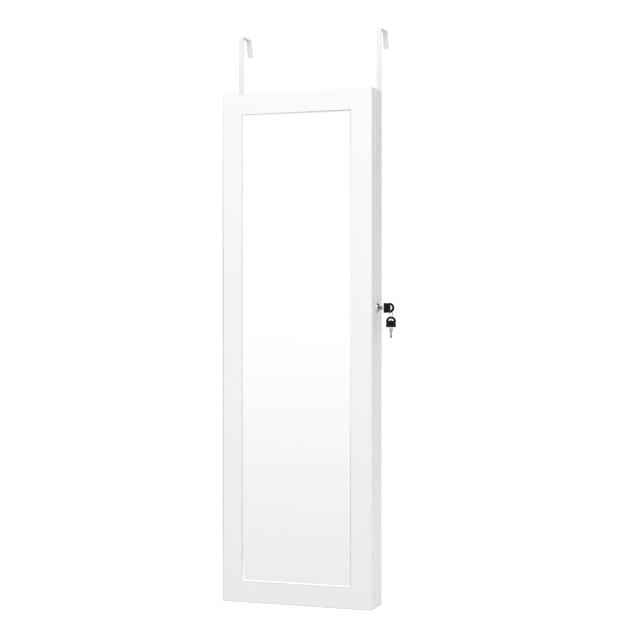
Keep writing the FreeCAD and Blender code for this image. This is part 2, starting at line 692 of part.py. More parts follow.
# ---------------------------------------------------------------- cam lock
ly, lz = -d.lock_back, d.lock_up
b = body("barrel_turned")
sk = sketch(b, "barrel_half", "XZ_Plane")
bore = d.plug + d.plug_clear
outline(sk, [(bore, -20), (d.barrel, -20), (d.barrel, 0), (d.flange, 0), (d.flange, d.flange_thick - d.flange_round, d.flange_round, -1), (d.flange - d.flange_round, d.flange_thick), (bore + 1.2, d.flange_thick), (bore, d.flange_thick - 0.6)])
rev = b.newObject("PartDesign::Revolution", "barrel_rev")
rev.Profile = sk
rev.ReferenceAxis = (sk, ["V_Axis"])
rev.Angle = 360
doc.recompute()
keep(place(b, half_w, ly, lz, TO_X), "lock_barrel")

b = body("nut_hex")
sk = sketch(b, "nut_outline", "YZ_Plane")
hexr = 12.0
outline(sk, [(hexr * math.cos(math.radians(60 * k)), hexr * math.sin(math.radians(60 * k))) for k in range(6)])
circle(sk, 0, 0, d.barrel)
pad(b, sk, 4)
keep(place(b, in_x - 4, ly, lz), "lock_nut")

b = body("plug_turned")
sk = sketch(b, "plug_outline", "YZ_Plane")
circle(sk, 0, 0, d.plug)
pad(b, sk, 23.7)
sk = sketch(b, "plug_tenon", "YZ_Plane")
rect(sk, -3.5, 3.5, -3.5, 3.5)
p = b.newObject("PartDesign::Pad", "plug_tenon_pad")
p.Profile = sk
p.Length = 1.9
p.Reversed = True
doc.recompute()
sk = sketch(b, "plug_keyway", "YZ_Plane", 23.7)
rect(sk, -1.2, 1.2, -2.9, 2.9)
pocket(b, sk, 14.5)
sk = sketch(b, "plug_thread", "YZ_Plane", -1.9)
circle(sk, 0, 0, 1.7)
pocket(b, sk, 8, back=True)
names = edges_where(b.Shape, lambda e: abs(e.CenterOfMass.x - 23.7) < 0.01 and abs(e.BoundBox.YLength - 2 * d.plug.v) < 0.1)
soften(b, b.Tip, names, 0.5)
keep(place(b, in_x - 8.2, ly, lz), "lock_plug")

b = body("cam_plate")
sk = sketch(b, "cam_outline", "YZ_Plane")
reach, finger = d.cam_reach, d.cam_finger
outline(sk, [(-6, -7.5), (6, -7.5), (6, 7), (4, 11), (4, reach - 2), (2, reach + 2), (-finger, reach + 2), (-finger, reach - 2), (-4, reach - 2), (-4, 11), (-6, 7)])
rect(sk, -3.5, 3.5, -3.5, 3.5)
pad(b, sk, 1.6)
keep(place(b, in_x - 10.0, ly, lz), "lock_cam")

b = body("cam_screw_turned")
sk = sketch(b, "cam_screw_half", "XZ_Plane")
outline(sk, [(0, -2.3), (3.6, -2.3), (4.6, -1.4), (4.6, 0), (1.7, 0), (1.7, 6), (0, 6)])
rev = b.newObject("PartDesign::Revolution", "cam_screw_rev")
rev.Profile = sk
rev.ReferenceAxis = (sk, ["V_Axis"])
rev.Angle = 360
doc.recompute()
keep(place(b, in_x - 10.1, ly, lz, TO_X), "cam_screw")


# ---------------------------------------------------------------- keys on their ring
def key(name):
    blade = body(name + "_shank")
    sk = sketch(blade, name + "_shank_outline", "XZ_Plane")
    outline(sk, [(6, 3), (0, 3), (0, 4.6), (-3, 4.5), (-8, 4.1), (-9.6, 3.2), (-11.6, 2.55), (-13.2, 1.9), (-14.6, 2.1), (-15.6, 1.5), (-16.6, 2.4),
                 (-18.2, 2.6), (-19, 1.9), (-20, 2.7), (-21.6, 2.7), (-22.4, 2.1), (-23.4, 2.3), (-25, 0.5), (-25, -0.5), (-23.6, -2.2),
                 (-22.8, -2.7), (-21, -2.7), (-20.2, -2.0), (-19.2, -2.6), (-17.6, -2.5), (-16.8, -1.6), (-15.4, -2.0), (-13.6, -1.9), (-11.6, -2.55), (-9.6, -3.2),
                 (-8, -4.1), (-3, -4.5), (0, -4.6), (0, -3), (6, -3)])
    pad(blade, sk, d.blade_thick, mid=True)
    head = body(name + "_grip")
    sk = sketch(head, name + "_grip_outline", "XZ_Plane")
    hr, hl = d.head_round, d.head_len
    outline(sk, [(1.4, -11.6), (10, -11.05), (hl, -11.7, hr, -1), (hl, 11.7), (10, 11.05), (1.4, 11.6, 1.4, -1), (0, 10.2), (0, -10.2, 1.4, -1)])
    pad(head, sk, d.head_thick, mid=True)
    sk = sketch(head, name + "_slot", "XZ_Plane")
    outline(sk, [(15, -6.6, 6.79, -1), (15, 6.6), (15, 3.6, 5.33, 1), (15, -3.6)])
    pocket(head, sk, 10, mid=True)
    for k, s in enumerate((1, -1)):     # shallow bare panel sunk in each face
        sk = sketch(head, "%s_panel%d" % (name, k), "XZ_Plane", d.head_thick / 2 * s)
        outline(sk, [(2.6, -8.6), (3.4, -9.4), (10.6, -9.1), (11.4, -8.3), (11.4, 8.3), (10.6, 9.1), (3.4, 9.4), (2.6, 8.6)])
        pocket(head, sk, 0.35, back=s < 0)
    c = cut(name + "_grip_c", head, [blade])
    return blade, head, c


kb, kh, kc = key("first")
head_x = half_w + d.head_out
place(kb, head_x, ly, lz)
place(kh, head_x, ly, lz)
keep(kb, "key_blade")
keep(kc, "key_head")
ring_x, ring_z = head_x + d.ring_at, lz - d.ring_drop
tor = doc.addObject("Part::Torus", "ring_torus")
tor.Radius1, tor.Radius2 = d.ring_round.v, d.wire.v
bind(tor, "Radius1", d.ring_round)
bind(tor, "Radius2", d.wire)
keep(place(tor, ring_x, ly, ring_z, TO_X), "key_ring")
sb, sh, sc = key("spare")
spare_z = ring_z - d.ring_round - d.spare_at
place(sb, ring_x, ly, spare_z, TO_MX)
place(sh, ring_x, ly, spare_z, TO_MX)
keep(sb, "spare_key_blade")
keep(sc, "spare_key_head")

# ---------------------------------------------------------------- test and write
doc.recompute()
bad = [o.Name for o in doc.Objects if "Invalid" in o.State or "Error" in o.State]
if bad:
    raise RuntimeError("failed objects: " + ", ".join(bad))
labels = [o.Label for o in SUBPARTS]
if len(set(labels)) != len(labels):
    raise RuntimeError("a label is used twice")
for o in SUBPARTS:
    s = o.Shape
    if s.isNull() or not s.isValid() or not s.Solids:
        raise RuntimeError(o.Label + ": empty or invalid shape")
for f in os.listdir("parts"):
    if f.endswith(".step") and f[:-5] not in labels:
        os.remove(os.path.join("parts", f))
for o in SUBPARTS:
    o.Shape.exportStep(os.path.join("parts", o.Label + ".step"))
print(len(SUBPARTS), "sub-parts")
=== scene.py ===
import json
import math
import random

import bmesh
import bpy
from mathutils import Matrix, Vector, noise

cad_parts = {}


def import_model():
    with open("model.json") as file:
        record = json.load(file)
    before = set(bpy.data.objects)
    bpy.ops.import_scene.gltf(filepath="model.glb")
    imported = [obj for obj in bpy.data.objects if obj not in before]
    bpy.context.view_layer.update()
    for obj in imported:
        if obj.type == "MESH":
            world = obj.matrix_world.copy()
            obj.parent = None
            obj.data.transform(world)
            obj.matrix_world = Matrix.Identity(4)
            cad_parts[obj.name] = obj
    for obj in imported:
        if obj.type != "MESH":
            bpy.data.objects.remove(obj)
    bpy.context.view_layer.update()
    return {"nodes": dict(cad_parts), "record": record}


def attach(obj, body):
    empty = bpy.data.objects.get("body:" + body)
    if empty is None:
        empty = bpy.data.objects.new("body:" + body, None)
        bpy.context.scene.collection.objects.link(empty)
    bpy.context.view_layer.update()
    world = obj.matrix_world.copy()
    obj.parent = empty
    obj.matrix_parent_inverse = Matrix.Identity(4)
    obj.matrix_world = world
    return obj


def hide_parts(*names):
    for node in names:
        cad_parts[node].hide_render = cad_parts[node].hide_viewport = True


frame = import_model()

NODES = frame["nodes"]
scene = bpy.context.scene


# ------------------------------------------------------------------ camera
cam_data = bpy.data.cameras.new("camera")
cam = bpy.data.objects.new("camera", cam_data)
scene.collection.objects.link(cam)
cam.location = (1.188, -3.319, 0.069)
cam.rotation_euler = (math.radians(90), 0, math.radians(19.2))
cam_data.sensor_width = 36
cam_data.lens = 83.3
cam_data.shift_y = -0.002
cam_data.clip_start, cam_data.clip_end = 0.05, 200
scene.camera = cam
scene.view_settings.view_transform = "Standard"
scene.view_settings.look = "None"


# ------------------------------------------------------------------ materials
class Mat:
    """A Principled material with a few short helpers for its node tree."""

    def __init__(self, name, **sockets):
        self.m = bpy.data.materials.new(name)
        self.m.use_nodes = True
        self.t = self.m.node_tree
        self.t.nodes.clear()
        self.out = self.new("ShaderNodeOutputMaterial")
        self.b = self.new("ShaderNodeBsdfPrincipled")
        self.t.links.new(self.b.outputs[0], self.out.inputs[0])
        self.tc = self.new("ShaderNodeTexCoord")
        self.obj = self.tc.outputs["Object"]
        for k, v in sockets.items():
            self.b.inputs[k.replace("_", " ")].default_value = v

    def new(self, kind, **props):
        n = self.t.nodes.new(kind)
        for k, v in props.items():
            setattr(n, k, v)
        return n

    def put(self, socket, value):
        if isinstance(value, bpy.types.NodeSocket):
            self.t.links.new(value, socket)
        else:
            socket.default_value = value

    def to(self, name, value):
        self.put(self.b.inputs[name], value)
        return self

    def mapped(self, scale=(1, 1, 1), loc=(0, 0, 0), rot=(0, 0, 0), vec=None):
        n = self.new("ShaderNodeMapping")
        self.put(n.inputs["Vector"], vec or self.obj)
        n.inputs["Scale"].default_value = scale
        n.inputs["Location"].default_value = loc
        n.inputs["Rotation"].default_value = rot
        return n.outputs[0]

    def noise(self, scale, detail=2.0, rough=0.5, vec=None, distort=0.0, color=False):
        n = self.new("ShaderNodeTexNoise")
        self.put(n.inputs["Vector"], vec or self.obj)
        n.inputs["Scale"].default_value = scale
        n.inputs["Detail"].default_value = detail
        n.inputs["Roughness"].default_value = rough
        n.inputs["Distortion"].default_value = distort
        return n.outputs["Color" if color else "Fac"]

    def voronoi(self, scale, vec=None, feature="F1", out="Distance"):
        n = self.new("ShaderNodeTexVoronoi", feature=feature)
        self.put(n.inputs["Vector"], vec or self.obj)
        n.inputs["Scale"].default_value = scale
        return n.outputs[out]

    def wave(self, scale, vec=None, direction="X", distort=0.0, detail=2.0, kind="BANDS", profile="SIN"):
        n = self.new("ShaderNodeTexWave", wave_type=kind, wave_profile=profile)
        if kind == "BANDS":
            n.bands_direction = direction
        else:
            n.rings_direction = direction
        self.put(n.inputs["Vector"], vec or self.obj)
        n.inputs["Scale"].default_value = scale
        n.inputs["Distortion"].default_value = distort
        n.inputs["Detail"].default_value = detail
        return n.outputs["Fac"]

    def range(self, value, a, b, c, d, smooth=False):
        n = self.new("ShaderNodeMapRange")
        if smooth:
            n.interpolation_type = "SMOOTHSTEP"
        self.put(n.inputs[0], value)
        for k, x in zip((1, 2, 3, 4), (a, b, c, d)):
            n.inputs[k].default_value = x
        return n.outputs[0]

    def math(self, op, a, b=0.0, clamp=False):
        n = self.new("ShaderNodeMath", operation=op, use_clamp=clamp)
        self.put(n.inputs[0], a)
        self.put(n.inputs[1], b)
        return n.outputs[0]

    def ramp(self, fac, stops):
        n = self.new("ShaderNodeValToRGB")
        self.put(n.inputs[0], fac)
        e = n.color_ramp.elements
        while len(e) < len(stops):
            e.new(0.5)
        for k, (p, c) in enumerate(stops):
            e[k].position = p
            e[k].color = (c[0], c[1], c[2], 1) if hasattr(c, "__len__") else (c, c, c, 1)
        return n.outputs[0]

    def mix(self, fac, a, b, blend="MIX"):
        n = self.new("ShaderNodeMix", data_type="RGBA", blend_type=blend)
        self.put(n.inputs[0], fac)
        for s, v in ((n.inputs[6], a), (n.inputs[7], b)):
            if isinstance(v, bpy.types.NodeSocket):
                self.t.links.new(v, s)
            else:
                s.default_value = (v[0], v[1], v[2], 1)
        return n.outputs[2]

    def xyz(self, vec=None):
        n = self.new("ShaderNodeSeparateXYZ")
        self.put(n.inputs[0], vec or self.obj)
        return n.outputs

    def bump(self, height, strength, distance, normal=None):
        n = self.new("ShaderNodeBump")
        n.inputs["Strength"].default_value = strength
        n.inputs["Distance"].default_value = distance
        self.put(n.inputs["Height"], height)
        if normal:
            self.put(n.inputs["Normal"], normal)
        return n.outputs[0]

    def edge(self, radius):
        """0 on flat faces, up to 1 along edges."""
        bev = self.new("ShaderNodeBevel", samples=4)
        bev.inputs["Radius"].default_value = radius
        geo = self.new("ShaderNodeNewGeometry")
        dot = self.new("ShaderNodeVectorMath", operation="DOT_PRODUCT")
        self.t.links.new(bev.outputs[0], dot.inputs[0])
        self.t.links.new(geo.outputs["Normal"], dot.inputs[1])
        return self.range(dot.outputs["Value"], 0.995, 0.8, 0.0, 1.0), bev.outputs[0]


def lacquer(name, warm=0.0, gloss=0.30, peel=1.0):
    """Sprayed satin lacquer on fibreboard: orange peel, soft clouding, edges a touch darker from wear and painted
    shade, and a painted shade line down the rounded hinge-side edge of the door's face.
    """
    m = Mat(name, IOR=1.47, Specular_IOR_Level=0.5)
    m.to("Coat Weight", 0.12)
    m.to("Coat Roughness", 0.12)
    cloud = m.noise(2.3, 3, 0.55)
    fleck = m.noise(34, 4, 0.6)
    base = m.ramp(m.math("ADD", m.math("MULTIPLY", cloud, 0.7), m.math("MULTIPLY", fleck, 0.3)),
                  [(0.30, (0.868, 0.868, 0.870)), (0.70, (0.892 + warm, 0.892 + warm, 0.892))])
    edge, rounded = m.edge(0.0012)
    # edges a touch darker and rougher: wear, and painted shade along the edges as well
    wear_and_painted_light = m.math("MULTIPLY", edge, m.range(m.noise(60, 4, 0.7), 0.42, 0.68, 0.0, 1.0), True)
    base = m.mix(m.math("MULTIPLY", wear_and_painted_light, 0.08), base, (0.70, 0.69, 0.67))
    # painted shade: a dark line down the rounded hinge-side edge of the door's face, standing in for the shade that
    # edge turns into
    x, y, z = m.xyz()
    painted_edge_shade = m.math("MULTIPLY", m.range(x, -0.1815, -0.1826, 0.0, 1.0), m.range(y, -0.0740, -0.0765, 0.0, 1.0))
    run = m.math("MULTIPLY", m.range(z, 0.50, 0.20, 0.10, 1.0), m.range(z, -0.55, -0.42, 0.40, 1.0))
    painted_edge_shade = m.math("MULTIPLY", m.math("MULTIPLY", painted_edge_shade, run), m.range(m.noise(26, 3, 0.6), 0.2, 0.8, 0.80, 1.0))
    m.to("Base Color", m.mix(painted_edge_shade, base, (0.47, 0.47, 0.472)))
    rub = m.range(m.noise(9, 5, 0.62, m.mapped((1, 1, 0.35))), 0.3, 0.7, gloss - 0.05, gloss + 0.09)
    m.to("Roughness", m.math("ADD", rub, m.math("MULTIPLY", wear_and_painted_light, 0.15)))
    skin = m.math("ADD", m.math("MULTIPLY", m.noise(520, 2, 0.5), 0.7 * peel), m.math("MULTIPLY", m.noise(90, 2, 0.5), 0.9 * peel))
    nib = m.range(m.voronoi(95), 0.0, 0.035, 1.0, 0.0, True)
    height = m.math("ADD", skin, m.math("MULTIPLY", nib, 0.6))
    m.to("Normal", m.bump(height, 0.22, 0.00035, rounded))
    return m.m


def powder_coat(name):
    """Powder coat on steel strip: fine leather-like pimple texture."""
    m = Mat(name, IOR=1.5, Specular_IOR_Level=0.5)
    base = m.ramp(m.noise(55, 4, 0.6), [(0.3, (0.80, 0.80, 0.797)), (0.7, (0.83, 0.83, 0.826))])
    edge, rounded = m.edge(0.0005)
    rub = m.math("MULTIPLY", edge, m.range(m.noise(240, 3, 0.6), 0.5, 0.7, 0, 1), True)
    m.to("Base Color", m.mix(m.math("MULTIPLY", rub, 0.3), base, (0.60, 0.60, 0.60)))
    m.to("Roughness", m.range(m.noise(160, 3, 0.6), 0.3, 0.7, 0.30, 0.46))
    m.to("Normal", m.bump(m.noise(1500, 2, 0.5), 0.16, 0.00012, rounded))
    return m.m


def metal(name, tone, dark, rough, brushed=None, scratch=0.3, fine=900):
    """Plated or polished metal with fine scratches and, if wanted, a brushed direction."""
    m = Mat(name, Metallic=1.0)
    patch = m.noise(140, 4, 0.6)
    smear = m.noise(38, 5, 0.65, distort=0.6)
    m.to("Base Color", m.mix(m.range(patch, 0.35, 0.7, 0, 1), tone, dark))
    edge, rounded = m.edge(0.0003)
    r = m.range(smear, 0.3, 0.72, rough * 0.75, rough * 1.5)
    m.to("Roughness", m.math("ADD", r, m.math("MULTIPLY", edge, 0.05)))
    if brushed:
        grain = m.noise(fine, 3, 0.6, m.mapped(brushed))
    else:
        grain = m.noise(fine * 2.2, 2, 0.5, m.mapped((1, 1, 0.08)))
    m.to("Normal", m.bump(grain, scratch, 0.00006, rounded))
    return m.m


def key_steel(name):
    """Plated key blank with painted light: a painted highlight at each key's neck, painted shade along the inserted
    blade towards the lock and down the spare blade towards its tip.
    """
    m = Mat(name, Metallic=1.0)
    x, _, z = m.xyz()
    upper = m.range(z, 0.0640, 0.0660, 0.0, 1.0)
    reach_a = m.math("SUBTRACT", 0.2010, x)
    reach_b = m.math("SUBTRACT", 0.0493, z)
    drift = m.math("MULTIPLY", m.math("SUBTRACT", m.noise(420, 3, 0.6), 0.5), 0.003)
    # painted light and shade on the key in the lock and on the spare, set by distance from the head
    held = m.ramp(m.range(m.math("ADD", reach_a, drift), 0.0, 0.0125, 0.0, 1.0),
                  [(0.06, 0.90), (0.30, 0.55), (0.44, 0.16), (0.80, 0.12), (0.95, 0.16), (1.0, 0.22)])
    free = m.ramp(m.range(m.math("ADD", reach_b, drift), 0.0, 0.025, 0.0, 1.0),
                  [(0.04, 0.90), (0.16, 0.48), (0.45, 0.38), (0.70, 0.36), (0.88, 0.24), (1.0, 0.34)])
    wear_and_painted_light = m.mix(upper, free, held)
    smear = m.noise(300, 4, 0.65, distort=0.5)
    m.to("Base Color", m.mix(m.range(smear, 0.35, 0.75, 0.0, 0.35), wear_and_painted_light, (0.24, 0.24, 0.235)))
    edge, rounded = m.edge(0.0003)
    m.to("Roughness", m.math("ADD", m.range(smear, 0.3, 0.72, 0.18, 0.34), m.math("MULTIPLY", edge, 0.05)))
    m.to("Normal", m.bump(m.noise(900, 3, 0.6, m.mapped((1, 8, 1))), 0.35, 0.00006, rounded))
    return m.m


def lock_chrome(name):
    """Chromed lock face with painted reflections: bright and dark bands painted by height across the rim, darkest near
    its top.
    """
    m = Mat(name, Metallic=1.0)
    _, y, z = m.xyz()
    drift = m.math("MULTIPLY", m.math("SUBTRACT", m.noise(300, 3, 0.6), 0.5), 0.0025)
    # painted reflection: bright and dark bands by height, and a flat pale grey mixed in towards -y
    tone = m.ramp(m.range(m.math("ADD", z, drift), 0.0835, 0.1045, 0.0, 1.0),
                  [(0.0, 0.66), (0.28, 0.62), (0.45, 0.84), (0.62, 0.90), (0.72, 0.42), (0.80, 0.035), (0.95, 0.04)])
    tone = m.mix(m.range(y, -0.0417, -0.0437, 0.0, 0.9), tone, (0.80, 0.80, 0.81))
    smear = m.noise(260, 4, 0.65, distort=0.5)
    m.to("Base Color", m.mix(m.range(smear, 0.4, 0.8, 0.0, 0.25), tone, (0.55, 0.56, 0.57)))
    edge, rounded = m.edge(0.0003)
    m.to("Roughness", m.math("ADD", m.range(smear, 0.3, 0.72, 0.10, 0.22), m.math("MULTIPLY", edge, 0.05)))
    m.to("Normal", m.bump(m.noise(1500, 2, 0.5, m.mapped((1, 1, 0.2))), 0.15, 0.00005, rounded))
    return m.m


def silvered_glass(name):
    """Silvered mirror: bright face, sea-green ground edges, grey paint on the back, painted shade along its top and
    right edges.
    """
    m = Mat(name, Metallic=1.0, IOR=1.52)
    n = m.xyz(m.tc.outputs["Normal"])
    back = m.range(n[1], 0.35, 0.6, 0, 1)
    rim = m.math("MAXIMUM", m.math("ABSOLUTE", n[0]), m.math("ABSOLUTE", n[2]))
    rim = m.range(rim, 0.75, 0.92, 0, 1)
    haze = m.noise(7, 5, 0.6, distort=0.4)
    face = m.ramp(haze, [(0.35, (0.979, 0.993, 0.968)), (0.7, (0.987, 0.998, 0.978))])
    # painted shade along the right upright edge, strongest near its bottom and top, and along the top edge, stronger to
    # the right
    x, _, z = m.xyz()
    side = m.ramp(m.range(z, -0.55, 0.55, 0.0, 1.0), [(0.0, 0.80), (0.22, 0.80), (0.34, 0.40), (0.50, 0.12), (0.80, 0.15), (0.95, 0.65)])
    side = m.math("MULTIPLY", side, m.range(x, 0.1318, 0.1330, 0.0, 1.0))
    top = m.math("MULTIPLY", m.range(z, 0.5462, 0.5476, 0.0, 1.0), m.range(x, -0.12, 0.10, 0.15, 1.0))
    painted_rim_shade = m.math("MULTIPLY", m.math("MAXIMUM", side, top), m.range(m.noise(60, 3, 0.6), 0.25, 0.75, 0.45, 0.62))
    face = m.mix(painted_rim_shade, face, (0.45, 0.46, 0.455))
    col = m.mix(rim, face, m.ramp(m.noise(80, 3), [(0.3, (0.42, 0.52, 0.49)), (0.7, (0.50, 0.60, 0.56))]))
    paint = m.ramp(m.noise(120, 4, 0.6), [(0.3, (0.26, 0.27, 0.29)), (0.7, (0.33, 0.34, 0.36))])
    m.to("Base Color", m.mix(back, col, paint))
    m.to("Metallic", m.range(m.math("MAXIMUM", back, m.math("MULTIPLY", rim, 0.55)), 0, 1, 1, 0))
    dust = m.range(m.noise(420, 3, 0.6), 0.62, 0.8, 0.0, 0.012)
    rough = m.math("ADD", dust, m.math("MULTIPLY", rim, 0.22))
    m.to("Roughness", m.math("ADD", rough, m.math("MULTIPLY", back, 0.5)))
    wave = m.noise(3.0, 1, 0.4)
    m.to("Normal", m.bump(wave, 0.03, 0.002))
    return m.m


def quilt_depth(m, seams_x, seams_z, half, low, high):
    """Distance to the nearest seam or border of a quilted pad."""
    x, _, z = m.xyz()
    d = m.math("MINIMUM", m.math("SUBTRACT", half, m.math("ABSOLUTE", x)), m.math("MINIMUM", m.math("SUBTRACT", z, low), m.math("SUBTRACT", high, z)))
    for v, cuts in ((x, seams_x), (z, seams_z)):
        for c in cuts:
            d = m.math("MINIMUM", d, m.math("ABSOLUTE", m.math("SUBTRACT", v, c)))
    return d


def velvet(name, deep, light, pile=1.0, quilt=None):
    """Short-pile velvet: brushed patches, fibre noise, sheen at grazing angles; with quilt given, painted shade along
    the quilting seams and a painted highlight on the crowns between them.
    """
    m = Mat(name, IOR=1.4, Specular_IOR_Level=0.15)
    m.to("Sheen Weight", 0.55)
    m.to("Sheen Roughness", 0.35)
    m.to("Sheen Tint", (0.9, 0.88, 0.88, 1))
    brushed = m.noise(8, 4, 0.55, m.mapped((1.5, 1, 0.7)), 0.3)
    stroke = m.noise(120, 3, 0.6, m.mapped((1, 1, 0.16)))
    fibre = m.noise(1900, 2, 0.6)
    tuft = m.voronoi(1250)
    tone = m.math("ADD", m.math("MULTIPLY", brushed, 0.42), m.math("ADD", m.math("MULTIPLY", stroke, 0.26), m.math("MULTIPLY", fibre, 0.32)))
    col = m.ramp(tone, [(0.36, deep), (0.50, tuple((a + b) / 2 for a, b in zip(deep, light))), (0.64, light)])
    if quilt:
        d = quilt_depth(m, *quilt)
        # painted shade near the seams and a painted highlight on the crowns
        painted_quilt_light = m.math("MULTIPLY", m.range(d, 0.0, 0.011, 0.50, 1.0, True), m.range(d, 0.010, 0.042, 1.0, 1.22, True))
        n = m.new("ShaderNodeCombineXYZ")
        for k in range(3):
            m.put(n.inputs[k], painted_quilt_light)
        col = m.mix(1.0, col, n.outputs[0], "MULTIPLY")
    m.to("Base Color", col)
    m.to("Roughness", m.range(brushed, 0.3, 0.7, 0.72, 0.95))
    height = m.math("ADD", m.math("MULTIPLY", fibre, 0.6), m.math("MULTIPLY", tuft, 0.5))
    height = m.math("ADD", height, m.math("MULTIPLY", stroke, 0.9))
    m.to("Normal", m.bump(height, 0.5 * pile, 0.0006))
    return m.m


def thread(name):
    """Twisted sewing thread, a shade paler than the cloth."""
    m = Mat(name, IOR=1.45, Specular_IOR_Level=0.35)
    m.to("Sheen Weight", 0.3)
    ply = m.wave(900, m.mapped((1, 0.3, 1), rot=(0, math.radians(40), 0)), distort=0.6)
    m.to("Base Color", m.ramp(ply, [(0.2, (0.22, 0.21, 0.215)), (0.8, (0.40, 0.385, 0.39))]))
    m.to("Roughness", m.range(ply, 0, 1, 0.62, 0.45))
    m.to("Normal", m.bump(ply, 0.5, 0.0001))
    return m.m


def beech(name):
    m = Mat(name, IOR=1.45, Specular_IOR_Level=0.4)
    v = m.mapped((6, 60, 60))
    grain = m.noise(6, 6, 0.65, v, 1.2)
    pores = m.noise(90, 3, 0.6, m.mapped((1, 26, 26)))
    col = m.ramp(grain, [(0.28, (0.50, 0.34, 0.19)), (0.5, (0.62, 0.45, 0.27)), (0.72, (0.70, 0.53, 0.34))])
    fleck = m.range(pores, 0.60, 0.72, 0, 1)
    m.to("Base Color", m.mix(m.math("MULTIPLY", fleck, 0.4), col, (0.33, 0.20, 0.10)))
    m.to("Roughness", m.range(grain, 0.3, 0.7, 0.38, 0.58))
    m.to("Normal", m.bump(m.math("ADD", grain, m.math("MULTIPLY", pores, 0.8)), 0.3, 0.0004))
    return m.m


def moulded(name):
    """Moulded black grip with a fine spark texture and rubbed edges."""
    m = Mat(name, IOR=1.36, Specular_IOR_Level=0.16)
    edge, rounded = m.edge(0.0006)
    base = m.ramp(m.noise(300, 4, 0.7), [(0.35, (0.0015, 0.0015, 0.002)), (0.68, (0.014, 0.014, 0.0155))])
    rub = m.math("MULTIPLY", edge, m.range(m.noise(700, 3, 0.6), 0.45, 0.7, 0, 1), True)
    m.to("Base Color", m.mix(m.math("MULTIPLY", rub, 0.5), base, (0.030, 0.030, 0.032)))
    m.to("Roughness", m.range(m.noise(300, 4, 0.65), 0.3, 0.7, 0.36, 0.56))
    m.to("Normal", m.bump(m.noise(3800, 2, 0.5), 0.35, 0.00012, rounded))
    return m.m


def foam_tape(name):
    m = Mat(name, IOR=1.45, Specular_IOR_Level=0.3)
    cells = m.voronoi(1500)
    m.to("Base Color", m.ramp(m.noise(260, 4), [(0.3, (0.04, 0.04, 0.043)), (0.7, (0.075, 0.075, 0.08))]))
    m.to("Roughness", m.range(cells, 0, 0.6, 0.95, 0.7))
    m.to("Normal", m.bump(cells, 0.4, 0.0004))
    return m.m


def ring_wire(name):
    """Spring wire of the split ring, with painted light: bright and dark bands painted by height, one set on the strand
    nearer the front and one on the strand behind.
    """
    m = Mat(name, Metallic=1.0)
    _, y, z = m.xyz()
    # painted light and shade by height, chosen by which strand of the ring a point is on
    near = m.range(y, -0.0385, -0.0335, 1.0, 0.0)
    a = m.ramp(m.range(z, 0.0682, 0.0898, 0.0, 1.0), [(0.0, 0.10), (0.24, 0.30), (0.42, 0.42), (0.50, 0.62), (0.60, 0.50), (0.68, 0.05), (1.0, 0.03)])
    b = m.ramp(m.range(z, 0.0682, 0.0898, 0.0, 1.0), [(0.0, 0.10), (0.24, 0.66), (0.42, 0.74), (0.50, 0.34), (0.62, 0.30), (0.80, 0.16), (1.0, 0.06)])
    smear = m.noise(700, 4, 0.65, distort=0.4)
    m.to("Base Color", m.mix(m.range(smear, 0.4, 0.8, 0.0, 0.4), m.mix(near, b, a), (0.20, 0.20, 0.205)))
    m.to("Roughness", m.range(smear, 0.3, 0.72, 0.13, 0.26))
    m.to("Normal", m.bump(m.noise(2600, 2, 0.5), 0.25, 0.00004))
    return m.m


MATS = {
    "white_lacquer": lacquer("lacquer"),
    "mirror": silvered_glass("silvered_glass"),
    "velvet": velvet("velvet_lining", (0.085, 0.080, 0.083), (0.190, 0.180, 0.186)),
    "velvet_soft": velvet("velvet_pad", (0.095, 0.089, 0.092), (0.210, 0.198, 0.205), 1.2),
    "hook_paint": powder_coat("powder_coat"),
    "chrome": metal("chrome_plate", (0.80, 0.81, 0.83), (0.70, 0.71, 0.73), 0.07, scratch=0.12, fine=700),
    "nickel": metal("satin_nickel", (0.53, 0.515, 0.485), (0.43, 0.42, 0.39), 0.25, (1, 1, 0.05), 0.35),
    "zinc": metal("zinc_plate", (0.66, 0.67, 0.69), (0.50, 0.51, 0.53), 0.24, None, 0.3),
    "black_plastic": moulded("moulded_black"),
    "key_steel": key_steel("key_blank"),
    "beech": beech("beech"),
    "tape": foam_tape("foam_tape"),
    "magnet": metal("magnet_plate", (0.60, 0.60, 0.62), (0.45, 0.45, 0.47), 0.18, None, 0.25),
}


SLOT_OF = {}
for sub in frame["record"].get("subparts") or []:
    for key in ("material_slot", "material", "slot"):
        if isinstance(sub, dict) and sub.get(key):
            SLOT_OF[sub.get("node") or sub.get("name")] = sub[key]
            break


# ------------------------------------------------------------------ studio
class Tree:
    """Short helpers for the world and the floor."""

    def __init__(self, t):
        self.t = t
        t.nodes.clear()

    def new(self, kind, **props):
        n = self.t.nodes.new(kind)
        for k, v in props.items():
            setattr(n, k, v)
        return n

    def put(self, socket, value):
        if isinstance(value, bpy.types.NodeSocket):
            self.t.links.new(value, socket)
        else:
            socket.default_value = value

    def math(self, op, a, b=0.0, clamp=False):
        n = self.new("ShaderNodeMath", operation=op, use_clamp=clamp)
        self.put(n.inputs[0], a)
        self.put(n.inputs[1], b)
        return n.outputs[0]

    def range(self, v, a, b, c, d):
        n = self.new("ShaderNodeMapRange", interpolation_type="SMOOTHSTEP")
        self.put(n.inputs[0], v)
        for k, x in zip((1, 2, 3, 4), (a, b, c, d)):
            n.inputs[k].default_value = x
        return n.outputs[0]

    def lobe(self, vec, direction, inner, outer, depth):
        """1 away from a direction, 1 - depth within a cosine of inner."""
        d = Vector(direction).normalized()
        n = self.new("ShaderNodeVectorMath", operation="DOT_PRODUCT")
        self.put(n.inputs[0], vec)
        n.inputs[1].default_value = d
        return self.range(n.outputs["Value"], outer, inner, 1.0, 1.0 - depth)


